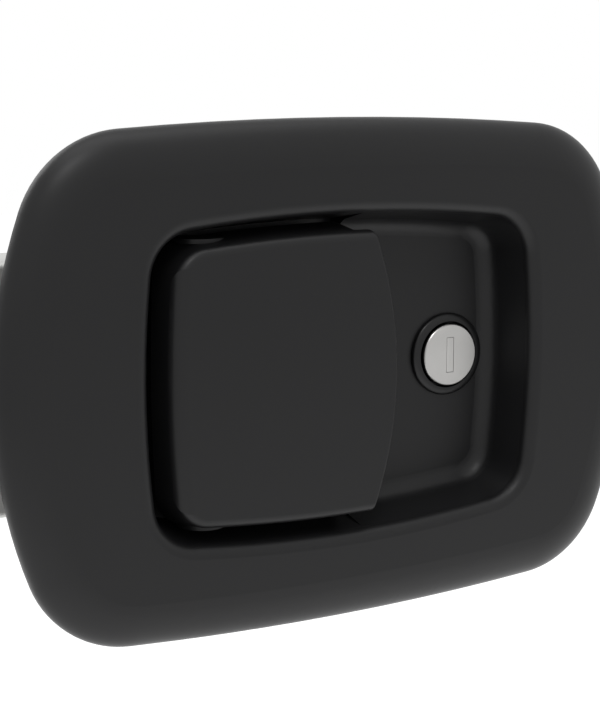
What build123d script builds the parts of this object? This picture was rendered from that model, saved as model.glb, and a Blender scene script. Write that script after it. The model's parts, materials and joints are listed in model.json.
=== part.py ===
from build123d import *
from math import radians, sin, sqrt, tan
import os

# Flush paddle latch for a compartment door, seen from outside the door.
# X runs to the right, Y into the door and Z up, all in millimetres. The origin is the
# middle of the flange's rear face, which rests on the door.
# A front-view outline is drawn in X and Z. Depths are along Y: minus is towards the user.

# ---------------------------------------------------------------- driving dimensions
# Flange of the escutcheon pan
flange_half_width = 78.8
flange_half_height = 54.8
flange_end_arc = 753.0  # radius of the long upper and lower edges
flange_side_arc = 108.5  # radius of the bowed left and right edges
flange_corner = 23.9
flange_height = 6.3  # face of the flange above the door
edge_land = 0.8  # square edge left under the rolled edge
roll_width = 10.0  # width of the rolled edge, seen from the front
flange_wall = 3.0
rib_width = 2.0
rib_places = (-20.0, 0.0, 20.0)  # ribs under each side of the flange

# Gasket in the flange's rear face
gasket_inset = 3.0
gasket_width = 4.0
gasket_depth = 1.5

# Recess in the flange: a deep pocket under the paddle and a shallower finger recess
recess_x = 0.15
recess_half_width = 47.95
recess_half_height = 34.65
recess_end_arc = 335.0
recess_side_arc = 214.0
recess_corner = 10.0
rim_round = 2.8
pan_wall = 3.0
pocket_right_x = 4.0
pocket_depth = 10.5  # pocket floor behind the door face
pocket_draft = 9.0  # degrees
finger_depth = 7.4  # finger recess floor behind the door face
finger_draft = 13.5  # degrees
finger_floor_fillet = 4.3

# Paddle
paddle_stand = 6.5  # paddle face above the door
paddle_left_x = -42.6
paddle_right_x = 11.15
paddle_half_height = 30.65
paddle_end_arc = 350.0
paddle_right_arc = 83.9
paddle_left_arc = 260.0
paddle_draft = 9.0  # degrees
paddle_left_corner = 7.5
paddle_wall = 2.7
paddle_skirt = 10.5
paddle_edge_round = 2.0
paddle_left_round = 3.4  # softer edge over the hinge
lip_edge_round = 0.6
lip_width = 10.0  # free lip that the fingers pull
rib_gap = 9.0  # pitch of the ribs under the paddle's face

# Hinge pin, its lugs and washers, and the return spring
pin_radius = 2.0
pin_inset = 10.4  # pin axis from the paddle's left edge
pin_depth = 3.0  # pin axis behind the door face
pin_cover = 1.6  # closed end of the upper knuckle
pin_end_gap = 0.3
knuckle_radius = 5.4
knuckle_length = 8.0
knuckle_reach = 30.6  # outer end of the knuckles, proud of the skirts
lug_radius = 4.0
lug_length = 6.0
washer_length = 1.6
washer_radius = 3.8
floor_room = 1.0  # left skirt over the pocket floor when fully open
torsion_wire = 0.6
torsion_turns = 4
torsion_pitch = 1.5

# Drive arm of the paddle
paddle_swing = 38.0  # degrees, from flush to fully open
arm_length = 18.0  # pin axis to the middle of the arm's nose
arm_half_width = 4.5
arm_thickness = 5.0

# Latch case behind the pan
case_left_x = -93.0
case_right_x = -2.0
case_half_height = 26.5
case_inner_depth = 14.0
case_sheet = 1.5
case_bend = 1.35
case_screw_inset = 7.0  # right pair of screws from the case's right end
case_screw_span = 35.0  # from the right pair to the left pair
case_screw_edge = 6.5  # screw axis from the case's upper and lower edges
screw_radius = 2.0
screw_head_radius = 3.7
screw_head_height = 2.2
screw_bite = 2.5  # thread engaged in the pan
spacer_wall = 1.4

# Slam bolt and the carriage that draws it
bolt_reach = 14.0  # bolt nose outside the case
bolt_length = 41.0
bolt_half_height = 12.0
bolt_thickness = 9.6
bolt_tip = 1.6  # blunt end of the bevelled nose
bolt_bevel = 11.5  # length of the slam bevel
guide_wall = 1.9
guide_flange = 2.0
guide_depth = 7.0
strap_thickness = 2.0
strap_half_width = 7.0
strap_overlap = 18.0  # strap lying on the bolt
strap_tail = 4.0  # strap standing out of the case
tab_half_height = 8.0
rivet_radius = 2.0
rivet_head_radius = 3.4
rivet_pitch = 9.0

# Bolt spring and its guide rod
rod_radius = 2.4
rod_head = 1.6
bolt_spring_radius = 3.9
bolt_spring_wire = 0.6
bolt_spring_turns = 5

# Key lock in the finger recess
lock_x = 33.3
bezel_radius = 9.6
bezel_height = 2.1
bezel_bevel = 0.45  # around the plug
barrel_radius = 8.0
barrel_flat = 7.1
barrel_length = 18.0
plug_head_radius = 7.3
plug_head_length = 1.9
plug_radius = 5.5
plug_inset = 0.1  # plug face behind the top of the bezel
keyway_width = 2.0
keyway_height = 8.2
keyway_depth = 12.0
shutter_thickness = 0.6
tail_width = 7.0
tail_height = 5.0
nut_flats = 22.0
nut_thickness = 4.0
cam_length = 18.0
cam_width = 9.0
cam_thickness = 2.0
cam_washer_thickness = 0.8
cam_screw_head = 2.2
cam_screw_bite = 5.0

# Mounting studs
stud_radius = 2.5
stud_side_inset = 11.654  # from the flange's bowed side edge, at the height of the stud
stud_end_inset = 18.8  # from its upper and lower edges
stud_reach = 18.0
stud_head_radius = 3.6  # head moulded into the flange
stud_boss_radius = 5.5
stud_boss_gap = 0.3  # boss short of the door
stud_neck = 0.8  # thread relief at the head
stud_neck_radius = 2.1

# Clearances
running = 0.05  # radial, of a pin or plug that turns in its hole
sliding = 0.1
seat = 0.02  # of a piece pressed or screwed home
side_gap = 0.3

# ---------------------------------------------------------------- worked-out sizes
face = -flange_height
rim_bottom = face + rim_round
roll_depth = flange_height - edge_land
hollow_top = face + flange_wall
pocket_back = pocket_depth + pan_wall
finger_back = finger_depth + pan_wall
paddle_face = -paddle_stand
paddle_back = paddle_face + paddle_skirt
paddle_inside = paddle_face + paddle_wall
lip_root_x = paddle_right_x - lip_width
hinge_x = paddle_left_x + pin_inset
washer_outer = knuckle_reach - knuckle_length - sliding
lug_outer = washer_outer - washer_length - sliding
arm_nose_y = pin_depth + arm_length
arm_nose = arm_thickness / 2

case_inside = pocket_back + case_sheet
case_cover_y = case_inside + case_inner_depth
case_back = case_cover_y + case_sheet
case_screw_right_x = case_right_x - case_screw_inset
case_screw_z = case_half_height - case_screw_edge
case_screw_places = [
    (x, z)
    for x in (case_screw_right_x - case_screw_span, case_screw_right_x)
    for z in (-case_screw_z, case_screw_z)
]
bolt_travel = arm_length * sin(radians(paddle_swing))
bolt_y = (case_inside + case_cover_y) / 2
bolt_front = bolt_y - bolt_thickness / 2
bolt_rear = bolt_y + bolt_thickness / 2
bolt_tip_x = case_left_x - bolt_reach
bolt_right_x = bolt_tip_x + bolt_length
tab_left_x = hinge_x + arm_nose + 0.5
strap_left_x = bolt_right_x - strap_overlap
strap_right_x = case_right_x + strap_tail
strap_rear = bolt_rear + strap_thickness
rivet_places = (strap_left_x + rivet_head_radius + 1, strap_left_x + rivet_head_radius + 1 + rivet_pitch)

bezel_front = finger_depth - bezel_height
plug_face = bezel_front + plug_inset
plug_shoulder = plug_face + plug_head_length
barrel_end = finger_depth + barrel_length
cam_front = bolt_rear + sliding
cam_rear = cam_front + cam_thickness
cam_washer_rear = cam_rear + cam_washer_thickness
stud_z = flange_half_height - stud_end_inset
side_bow = flange_side_arc - sqrt(flange_side_arc**2 - stud_z**2)
stud_x = flange_half_width - side_bow - stud_side_inset
stud_places = [(x, z) for x in (-stud_x, stud_x) for z in (-stud_z, stud_z)]


# ---------------------------------------------------------------- shape helpers
def front_plane(depth):
    """Plane at one depth for front-view outlines."""
    return Plane((0, depth, 0), x_dir=(1, 0, 0), z_dir=(0, -1, 0))


def slab(outline, front, rear):
    """A front-view outline made solid between two depths."""
    return extrude(front_plane(rear) * outline, rear - front)


def drafted_slab(outline_at, front, rear, draft):
    """A slab whose walls close in towards the rear, or open out if the draft is negative.

    outline_at gives the outline at an inset."""
    inset = (rear - front) * tan(radians(draft))
    return loft([front_plane(front) * outline_at(0), front_plane(rear) * outline_at(inset)], ruled=True)


def block(x_range, y_range, z_range):
    """A box between limits."""
    low = Vector(x_range[0], y_range[0], z_range[0])
    size = Vector(x_range[1], y_range[1], z_range[1]) - low
    return Pos(low) * Box(size.X, size.Y, size.Z, align=Align.MIN)


def upright(x, y, low, high, radius):
    """A cylinder along Z."""
    return Pos(x, y, low) * Cylinder(radius, high - low, align=(Align.CENTER, Align.CENTER, Align.MIN))


def along_x(left, right, y, radius):
    """A cylinder along X at mid height."""
    return extrude(Plane((left, y, 0), z_dir=(1, 0, 0)) * Circle(radius), right - left)


def disc(place, front, rear, radius):
    """A cylinder along Y at a front-view place."""
    return slab(Pos(*place) * Circle(radius), front, rear)


def arc_drop(radius, offset):
    """How far an arc has fallen from its crown at an offset."""
    return radius - sqrt(radius**2 - offset**2)


def lens(half_width, half_height, radius, upright_lens=False):
    """Region between two shallow arcs, above and below or left and right."""
    reach = half_width if upright_lens else half_height
    turn = Rot(0, 0, 90) if upright_lens else Rot(0, 0, 0)
    upper = Pos(0, reach - radius) * Circle(radius)
    return (turn * upper) & (turn * Rot(0, 0, 180) * upper)


def barrel_outline(half_width, half_height, end_arc, side_arc, corner):
    """Four shallow arcs with rounded corners."""
    sharp = lens(half_width, half_height, end_arc) & lens(half_width, half_height, side_arc, True)
    return fillet(sharp.vertices(), corner)


def wire_along(path, radius):
    """A wire along a path, its section a pentagon inside the wire's circle."""
    section = Plane(path @ 0, z_dir=path % 0) * RegularPolygon(radius, 5)
    return sweep(section, path=path, is_frenet=True)


# ---------------------------------------------------------------- outlines
def flange_outline(inset=0):
    """Edge of the flange, or a line inside it."""
    sizes = (flange_half_width, flange_half_height, flange_end_arc, flange_side_arc, flange_corner)
    return barrel_outline(*[size - inset for size in sizes])


def recess_outline(inset=0):
    """Edge of the recess, or a line inside it."""
    sizes = (recess_half_width, recess_half_height, recess_end_arc, recess_side_arc, recess_corner)
    return Pos(recess_x, 0) * barrel_outline(*[size - inset for size in sizes])


def outer_recess_outline(inset=0):
    """Outside of the recess's wall."""
    return recess_outline(inset - pan_wall)


def left_of(x):
    """Front-view region left of an upright line."""
    reach = 2 * flange_half_width
    return Pos(x - reach, 0) * Rectangle(2 * reach, 2 * reach)


def paddle_outline(inset=0):
    """Paddle seen from the front: arched top and bottom, bowed left and right edges.

    An inset moves the three skirted sides and leaves the right edge where it is."""
    right_bow = Pos(paddle_right_x - paddle_right_arc, 0) * Rot(0, 0, 180) * Circle(paddle_right_arc)
    left_bow = Pos(paddle_left_x + paddle_left_arc, 0) * Circle(paddle_left_arc - inset)
    sharp = lens(flange_half_width, paddle_half_height - inset, paddle_end_arc - inset)
    sharp = sharp & right_bow & left_bow
    return fillet(sharp.vertices().sort_by(Axis.X)[:2], paddle_left_corner - inset)


def paddle_inner_outline(inset=0):
    """Hollow inside the paddle's skirts."""
    return paddle_outline(paddle_wall + inset) & left_of(lip_root_x - paddle_wall)


# ---------------------------------------------------------------- escutcheon pan
def edge_roll():
    """Ring cut from the flange to leave an elliptical rolled edge."""
    path = (front_plane(face) * flange_outline()).faces()[0].outer_wire()
    start = path @ 0
    forward = Vector(0, -1, 0)
    outward = forward.cross(path % 0)
    if outward.dot(start) < 0:
        outward = -outward
    section = Plane(start, x_dir=outward, z_dir=outward.cross(forward))
    corner = Pos(-roll_width, -roll_depth) * Rectangle(roll_width + 1, roll_depth + 1, align=Align.MIN)
    corner -= Pos(-roll_width, -roll_depth) * Ellipse(roll_width, roll_depth)
    return sweep(section * corner, path=path)


def flange_plate():
    """Flange with its rolled edge and the rounded rim of the recess."""
    plate = slab(flange_outline() - recess_outline(), face, 0)
    rim = [edge for edge in plate.edges().group_by(Axis.Y)[0] if inside_recess(edge)]
    plate = fillet(rim, rim_round)
    return plate - edge_roll()


def inside_recess(edge):
    """True for an edge that lies on the recess outline."""
    middle = edge @ 0.5
    return abs(middle.X - recess_x) < recess_half_width + 1 and abs(middle.Z) < recess_half_height + 1


def recess_shell():
    """Outside of the pocket and of the finger recess, behind the flange."""
    pocket = drafted_slab(outer_recess_outline, rim_bottom, pocket_back, pocket_draft)
    pocket &= slab(left_of(pocket_right_x + pan_wall), rim_bottom, pocket_back)
    return pocket + drafted_slab(outer_recess_outline, rim_bottom, finger_back, finger_draft)


def recess_void():
    """Hollow of the pocket and of the finger recess."""
    pocket = drafted_slab(recess_outline, rim_bottom, pocket_depth, pocket_draft)
    pocket &= slab(left_of(pocket_right_x), rim_bottom, pocket_depth)
    finger = drafted_slab(recess_outline, rim_bottom, finger_depth, finger_draft)
    floor = finger.faces().sort_by(Axis.Y)[-1]
    finger = fillet(floor.edges(), finger_floor_fillet)
    return pocket + finger


def pin_lug(side):
    """Lug that stands on the pocket floor and carries the hinge pin."""
    low, high = sorted((side * lug_outer, side * (lug_outer - lug_length)))
    sides = (hinge_x - lug_radius, hinge_x + lug_radius)
    stem = block(sides, (pin_depth, pocket_depth + pan_wall / 2), (low, high))
    lug = stem + upright(hinge_x, pin_depth, low, high, lug_radius)
    return lug - upright(hinge_x, pin_depth, low, high, pin_radius + running)


def flange_ribs():
    """Ribs that join the pocket's wall to the flange's border."""
    ribs = []
    half = rib_width / 2
    for place in rib_places:
        across = (-flange_half_width, flange_half_width)
        ribs.append(block(across, (hollow_top, 0), (place - half, place + half)))
        upright_range = (-flange_half_height, flange_half_height)
        ribs.append(block((place - half, place + half), (hollow_top, 0), upright_range))
    return ribs


def flange_hollow(shell):
    """Material taken out behind the flange, clear of its ribs and bosses."""
    hollow = slab(flange_outline(roll_width + 0.5), hollow_top, 0)
    hollow -= shell
    hollow -= flange_ribs()
    hollow -= [disc(place, hollow_top, -stud_boss_gap, stud_boss_radius) for place in stud_places]
    return hollow


def gasket_ring(width, inset, depth):
    """Band that follows the flange's edge in its rear face."""
    return slab(flange_outline(inset) - flange_outline(inset + width), -depth, 0)


def lock_hole(clearance):
    """Round hole with two flats that keeps the lock from turning."""
    flats = Rectangle(2 * (barrel_flat + clearance), 4 * barrel_radius)
    return Pos(lock_x, 0) * (Circle(barrel_radius + clearance) & flats)


def arm_opening_outline(rear):
    """Slot that the drive arm swings through, up to one depth behind the pin."""
    swing = radians(paddle_swing)
    left = hinge_x - arm_nose - 1
    right = hinge_x + (rear - pin_depth) * tan(swing) + arm_nose / sin(radians(90) - swing) + 1
    half = arm_half_width + 2
    return Pos((left + right) / 2, 0) * Rectangle(right - left, 2 * half)


def escutcheon_pan():
    """Moulded flange, pocket and finger recess in one piece."""
    shell = recess_shell()
    pan = flange_plate() + shell
    pan -= flange_hollow(shell)
    pan -= recess_void()
    pan += [pin_lug(1), pin_lug(-1)]
    pan -= gasket_ring(gasket_width, gasket_inset, gasket_depth)
    pan -= slab(lock_hole(seat), finger_depth - 1, finger_back + 1)
    pan -= disc((lock_x, 0), finger_depth - bezel_height, finger_depth, bezel_radius + side_gap)
    pan -= slab(arm_opening_outline(pocket_back), pocket_depth - 1, pocket_back + 1)
    for place in stud_places:
        pan -= disc(place, hollow_top, 0, stud_head_radius + seat)
    for place in case_screw_places:
        pan -= disc(place, pocket_back - screw_bite, pocket_back + 1, screw_radius + seat)
    return pan


def flange_gasket():
    """Foam ring in the groove of the flange's rear face."""
    return gasket_ring(gasket_width - 2 * sliding, gasket_inset + sliding, gasket_depth - seat)


# ---------------------------------------------------------------- paddle
def paddle_shell():
    """Cap with drafted skirts on three sides and a thin free lip on the right."""
    cap = drafted_slab(paddle_outline, paddle_face, paddle_back, -paddle_draft)
    cap -= block(
        (lip_root_x, paddle_right_x + 5),
        (paddle_inside, paddle_back),
        (-flange_half_height, flange_half_height),
    )
    rim = cap.faces().sort_by(Axis.Y)[0].edges().sort_by(Axis.X)
    cap = fillet(rim[:-1], paddle_edge_round)
    cap = fillet(cap.faces().sort_by(Axis.Y)[0].edges().sort_by(Axis.X)[-1], lip_edge_round)
    cap &= left_easing()
    return cap - drafted_slab(paddle_inner_outline, paddle_inside, paddle_back, -paddle_draft)


def left_drum_outline(inset=0):
    """Circle just outside the paddle's left edge."""
    return Pos(paddle_left_x + paddle_left_arc, 0) * Circle(paddle_left_arc + seat - inset)


def left_easing():
    """Drafted drum whose rim gives the paddle's left edge its larger rounding."""
    drum = drafted_slab(left_drum_outline, paddle_face, paddle_back, -paddle_draft)
    return fillet(drum.faces().sort_by(Axis.Y)[0].edges(), paddle_left_round)


def open_floor():
    """The pocket floor and its clearance, as the fully open paddle's left skirt meets it."""
    reach = paddle_half_height + knuckle_radius
    floor = block((-reach, 0), (pocket_depth - floor_room - pin_depth, reach), (-reach, reach))
    return Pos(hinge_x, pin_depth, 0) * Rot(0, 0, paddle_swing) * floor


def paddle_ribs():
    """Ribs under the face, from the hinge side to the cross wall at the lip."""
    ribs = []
    half = rib_width / 2
    for place in (-2 * rib_gap, -rib_gap, rib_gap, 2 * rib_gap):
        reach = (hinge_x + knuckle_radius, lip_root_x - paddle_wall / 2)
        ribs.append(block(reach, (paddle_inside - 1, paddle_inside + 2), (place - half, place + half)))
    return ribs


def knuckle(low, high):
    """Hinge barrel with a web up to the paddle's face."""
    barrel = upright(hinge_x, pin_depth, low, high, knuckle_radius)
    web_low, web_high = max(low, -paddle_half_height + 4), min(high, paddle_half_height - 4)
    sides = (hinge_x - lug_radius, hinge_x + lug_radius)
    return barrel + block(sides, (paddle_inside - 1, pin_depth), (web_low, web_high))


def drive_arm():
    """Arm that reaches through the pocket floor, with a rounded nose."""
    stem = block(
        (hinge_x - arm_nose, hinge_x + arm_nose),
        (paddle_inside - 1, arm_nose_y),
        (-arm_half_width, arm_half_width),
    )
    return stem + upright(hinge_x, arm_nose_y, -arm_half_width, arm_half_width, arm_nose)


def paddle():
    """The part that the hand pulls, with its knuckles and drive arm."""
    inner = knuckle_reach - knuckle_length
    body = paddle_shell() - open_floor() + paddle_ribs()
    body += [knuckle(inner, knuckle_reach), knuckle(-knuckle_reach, -inner)]
    body += [knuckle(-arm_half_width, arm_half_width), drive_arm()]
    return body - upright(hinge_x, pin_depth, -knuckle_reach, knuckle_reach - pin_cover, pin_radius + seat)


def hinge_washer(side):
    """Washer between a knuckle and a lug."""
    low, high = sorted((side * washer_outer, side * (washer_outer - washer_length)))
    washer = upright(hinge_x, pin_depth, low, high, washer_radius)
    return washer - upright(hinge_x, pin_depth, low, high, pin_radius + running)


def hinge_pin():
    """Steel pin pressed into the knuckles from below, which turns in the lugs."""
    pin = upright(
        hinge_x, pin_depth, pin_end_gap - knuckle_reach, knuckle_reach - pin_cover - pin_end_gap, pin_radius
    )
    return chamfer(pin.edges().filter_by(GeomType.CIRCLE), pin_radius / 6)


def paddle_spring():
    """Torsion spring on the pin, with one leg on the pocket floor and one under the paddle."""
    radius = pin_radius + 2 * torsion_wire + 0.3
    low = arm_half_width + 1.5
    height = torsion_turns * torsion_pitch
    coil = Pos(hinge_x, pin_depth, low) * Helix(torsion_pitch, height, radius)
    spring = wire_along(coil, torsion_wire)
    front_leg = pin_depth - paddle_inside - torsion_wire - sliding
    rear_leg = pocket_depth - pin_depth - torsion_wire - sliding
    section = RegularPolygon(torsion_wire, 5)
    spring += extrude(Plane(coil @ 0, z_dir=-(coil % 0)) * section, front_leg)
    return spring + extrude(Plane(coil @ 1, z_dir=coil % 1) * section, rear_leg)


# ---------------------------------------------------------------- latch case
def latch_case():
    """Folded steel case, open to the rear, that carries the bolt."""
    z_range = (-case_half_height, case_half_height)
    case = block((case_left_x, case_right_x), (pocket_back, case_cover_y), z_range)
    case = fillet(case.faces().sort_by(Axis.Y)[0].edges(), case_bend)
    inner_z = case_half_height - case_sheet
    inner_x = (case_left_x + case_sheet, case_right_x - case_sheet)
    inside = block(inner_x, (case_inside, case_cover_y), (-inner_z, inner_z))
    case -= inside
    case -= slab(arm_opening_outline(arm_nose_y), pocket_back, case_inside)
    guide_z = bolt_half_height + sliding + guide_wall
    guide_front = bolt_front - sliding - guide_wall
    case -= block((case_left_x, case_left_x + case_sheet), (guide_front, case_cover_y), (-guide_z, guide_z))
    notch_z = strap_half_width + side_gap
    notch = (bolt_rear - side_gap, case_cover_y)
    case -= block((case_right_x - case_sheet, case_right_x), notch, (-notch_z, notch_z))
    case -= along_x(case_right_x - 2 * case_sheet, case_right_x, bolt_y, rod_radius + seat)
    for place in case_screw_places:
        case -= disc(place, pocket_back, case_inside, screw_radius + sliding)
    return case


def case_cover():
    """Rear plate of the case."""
    cover = block(
        (case_left_x, case_right_x), (case_cover_y, case_back), (-case_half_height, case_half_height)
    )
    for place in case_screw_places:
        cover -= disc(place, case_cover_y, case_back, screw_radius + sliding)
    return cover


def case_spacer(place):
    """Sleeve on a case screw that keeps the cover off the bolt."""
    hole = screw_radius + sliding
    sleeve = disc(place, case_inside, case_cover_y, hole + spacer_wall)
    return sleeve - disc(place, case_inside, case_cover_y, hole)


def case_screw(place):
    """Pan-head screw through the case into the pan, with a hexagon socket."""
    shank = disc(place, pocket_back - screw_bite, case_back, screw_radius)
    head_rear = case_back + screw_head_height
    head = disc(place, case_back, head_rear, screw_head_radius)
    head = chamfer(head.faces().sort_by(Axis.Y)[-1].edges(), screw_head_height / 4)
    socket = Pos(*place) * RegularPolygon(screw_radius / 1.3, 6)
    return shank + head - slab(socket, case_back + screw_head_height / 3, head_rear)


# ---------------------------------------------------------------- slam bolt
def slam_bolt():
    """Bolt with a flat front and a bevelled rear that rides over the strike."""
    z_range = (-bolt_half_height, bolt_half_height)
    outline = Polyline(
        (bolt_tip_x, bolt_front),
        (bolt_right_x, bolt_front),
        (bolt_right_x, bolt_rear),
        (bolt_tip_x + bolt_bevel, bolt_rear),
        (bolt_tip_x, bolt_front + bolt_tip),
        close=True,
    )
    profile = Plane((0, 0, z_range[0])) * make_face(outline)
    bolt = extrude(profile, 2 * bolt_half_height)
    nose = bolt.edges().filter_by(Axis.Z).group_by(Axis.X)[0]
    bolt = fillet(nose, bolt_tip / 3)
    for x in rivet_places:
        bolt -= disc((x, 0), bolt_front, bolt_rear, rivet_radius)
        bolt -= rivet_head(x, bolt_front, 1)
    return bolt


def rivet_head(x, flush, inward):
    """Countersunk end of a rivet, flush with a face."""
    depth = rivet_head_radius - rivet_radius
    plane = Plane((x, flush, 0), x_dir=(1, 0, 0), z_dir=(0, inward, 0))
    on_end = (Align.CENTER, Align.CENTER, Align.MIN)
    return plane * Cone(rivet_head_radius, rivet_radius, depth, align=on_end)


def bolt_carriage():
    """Strap riveted to the bolt, with a tab that the drive arm pushes."""
    strap_z = (-strap_half_width, strap_half_width)
    strap = block((strap_left_x, strap_right_x), (bolt_rear, strap_rear), strap_z)
    tab_y = (case_inside + side_gap, strap_rear)
    tab_x = (tab_left_x, tab_left_x + strap_thickness)
    tab = block(tab_x, tab_y, (-tab_half_height, tab_half_height))
    carriage = strap + tab
    carriage -= along_x(tab_x[0], tab_x[1], bolt_y, rod_radius + side_gap)
    for x in rivet_places:
        carriage -= disc((x, 0), bolt_rear, strap_rear, rivet_radius)
        carriage -= rivet_head(x, strap_rear, -1)
    return carriage


def carriage_rivet(x):
    """Rivet through the bolt and the strap, flush at both ends."""
    rivet = disc((x, 0), bolt_front, strap_rear, rivet_radius)
    return rivet + rivet_head(x, bolt_front, 1) + rivet_head(x, strap_rear, -1)


def bolt_guide():
    """Low-friction bush around the bolt in the case's end."""
    inner_z = bolt_half_height + sliding
    inner_y = (bolt_front - sliding, bolt_rear + sliding)
    outer_z = inner_z + guide_wall - sliding
    outer_y = (inner_y[0] - guide_wall + sliding, inner_y[1] + guide_wall - sliding)
    rim_y = (outer_y[0] - guide_wall, outer_y[1] + guide_wall)
    rim_z = outer_z + guide_wall
    rim = block((case_left_x - guide_flange, case_left_x), rim_y, (-rim_z, rim_z))
    rim = fillet(rim.faces().sort_by(Axis.X)[0].edges(), guide_flange / 3)
    sleeve = block((case_left_x, case_left_x + guide_depth), outer_y, (-outer_z, outer_z))
    hole_x = (case_left_x - 2 * guide_flange, case_left_x + 2 * guide_depth)
    return rim + sleeve - block(hole_x, inner_y, (-inner_z, inner_z))


def guide_rod():
    """Rod riveted in the case's right end, inside the bolt spring."""
    tab_open_x = tab_left_x + strap_thickness + bolt_travel
    rod = along_x(tab_open_x + 2, case_right_x, bolt_y, rod_radius)
    rod = chamfer(rod.edges().sort_by(Axis.X)[0], rod_radius / 4)
    head = along_x(case_right_x, case_right_x + rod_head, bolt_y, 1.5 * rod_radius)
    return rod + chamfer(head.edges().sort_by(Axis.X)[-1], rod_head / 3)


def bolt_spring():
    """Compression spring between the carriage's tab and the case's right end."""
    left = tab_left_x + strap_thickness + bolt_spring_wire + seat
    right = case_right_x - case_sheet - bolt_spring_wire - seat
    length = right - left
    helix = Helix(length / bolt_spring_turns, length, bolt_spring_radius)
    return wire_along(Plane((left, bolt_y, 0), z_dir=(1, 0, 0)) * helix, bolt_spring_wire)


# ---------------------------------------------------------------- key lock
def turned(profile_points):
    """Solid turned about the lock's axis from points of radius and depth."""
    edges = Polyline(*profile_points, close=True)
    profile = Plane((lock_x, 0, 0), x_dir=(1, 0, 0), z_dir=(0, 0, 1)) * make_face(edges)
    return revolve(profile, Axis((lock_x, 0, 0), (0, 1, 0)))


def lock_body():
    """Domed bezel and flatted barrel of the key lock."""
    head_bore = plug_head_radius + running
    bore = plug_radius + running
    body = turned(
        [
            (head_bore + bezel_bevel, bezel_front),
            (bezel_radius, bezel_front),
            (bezel_radius, finger_depth),
            (barrel_radius, finger_depth),
            (barrel_radius, barrel_end),
            (bore, barrel_end),
            (bore, plug_shoulder + sliding),
            (head_bore, plug_shoulder + sliding),
            (head_bore, bezel_front + bezel_bevel),
        ]
    )
    front = body.faces().sort_by(Axis.Y)[0]
    rims = front.edges().sort_by(SortBy.RADIUS)
    body = fillet(rims[-1], 0.8 * bezel_height)
    between_flats = Pos(lock_x, 0) * Rectangle(2 * barrel_flat, 4 * bezel_radius)
    barrel = slab(between_flats, finger_depth, barrel_end + 1)
    bezel = disc((lock_x, 0), bezel_front - 1, finger_depth, 2 * bezel_radius)
    return body & (barrel + bezel)


def keyway_outline(clearance=0):
    """Upright slot for the key in the middle of the plug."""
    return Pos(lock_x, 0) * Rectangle(keyway_width - 2 * clearance, keyway_height - 2 * clearance)


def lock_plug():
    """Turning plug with a keyway and a flatted tail for the cam."""
    plug = turned(
        [
            (0, plug_face),
            (plug_head_radius, plug_face),
            (plug_head_radius, plug_shoulder),
            (plug_radius, plug_shoulder),
            (plug_radius, barrel_end + sliding),
            (0, barrel_end + sliding),
        ]
    )
    plug = chamfer(plug.faces().sort_by(Axis.Y)[0].edges(), 0.35)
    tail = slab(Pos(lock_x, 0) * Rectangle(tail_width, tail_height), barrel_end, cam_rear - seat)
    plug = plug + tail - slab(keyway_outline(), plug_face, plug_face + keyway_depth)
    return plug - disc((lock_x, 0), cam_rear - cam_screw_bite, cam_rear, screw_radius)


def key_shutter():
    """Flap that closes the keyway and swings in when the key is pushed home."""
    half = shutter_thickness / 2
    pivot_x = lock_x - keyway_width / 2 + sliding + half
    right = lock_x + keyway_width / 2 - sliding
    centre_y = plug_face + half + seat
    z_range = (-keyway_height / 2 + sliding, keyway_height / 2 - sliding)
    flap = block((pivot_x, right), (centre_y - half, centre_y + half), z_range)
    return flap + upright(pivot_x, centre_y, z_range[0], z_range[1], half)


def lock_nut():
    """Hexagon nut that holds the lock in the pan."""
    hexagon = Pos(lock_x, 0) * RegularPolygon(nut_flats / 2, 6, major_radius=False)
    nut = slab(hexagon, finger_back, finger_back + nut_thickness)
    return nut - disc((lock_x, 0), finger_back, finger_back + nut_thickness, barrel_radius + seat)


def lock_cam():
    """Blade on the plug's tail that turns into the path of the carriage."""
    straight = cam_length - cam_width / 2
    blade = Pos(lock_x, 0) * Circle(0.75 * cam_width)
    blade += Pos(lock_x, -straight / 2) * Rectangle(cam_width, straight)
    blade += Pos(lock_x, -straight) * Circle(cam_width / 2)
    blade -= Pos(lock_x, 0) * Rectangle(tail_width + 2 * seat, tail_height + 2 * seat)
    return slab(blade, cam_front, cam_rear)


def cam_washer():
    """Washer under the cam screw."""
    place = (lock_x, 0)
    washer = disc(place, cam_rear, cam_washer_rear, 0.9 * tail_width)
    return washer - disc(place, cam_rear, cam_washer_rear, screw_radius + seat)


def cam_screw():
    """Screw that clamps the cam to the plug's tail."""
    place = (lock_x, 0)
    shank = disc(place, cam_rear - cam_screw_bite, cam_washer_rear, screw_radius)
    head = disc(place, cam_washer_rear, cam_washer_rear + cam_screw_head, screw_head_radius)
    head = chamfer(head.faces().sort_by(Axis.Y)[-1].edges(), cam_screw_head / 4)
    slot = Pos(*place) * Rectangle(2 * screw_head_radius, 1)
    slot_floor = cam_washer_rear + cam_screw_head / 2
    return shank + head - slab(slot, slot_floor, slot_floor + cam_screw_head)


def mounting_stud(place):
    """Stud that stands out through the door, its head moulded into the flange."""
    head = disc(place, hollow_top, -stud_boss_gap, stud_head_radius)
    neck = disc(place, -stud_boss_gap, stud_neck, stud_neck_radius)
    shank = disc(place, stud_neck - stud_boss_gap, stud_reach, stud_radius)
    return head + neck + chamfer(shank.faces().sort_by(Axis.Y)[-1].edges(), stud_radius / 4)


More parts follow.
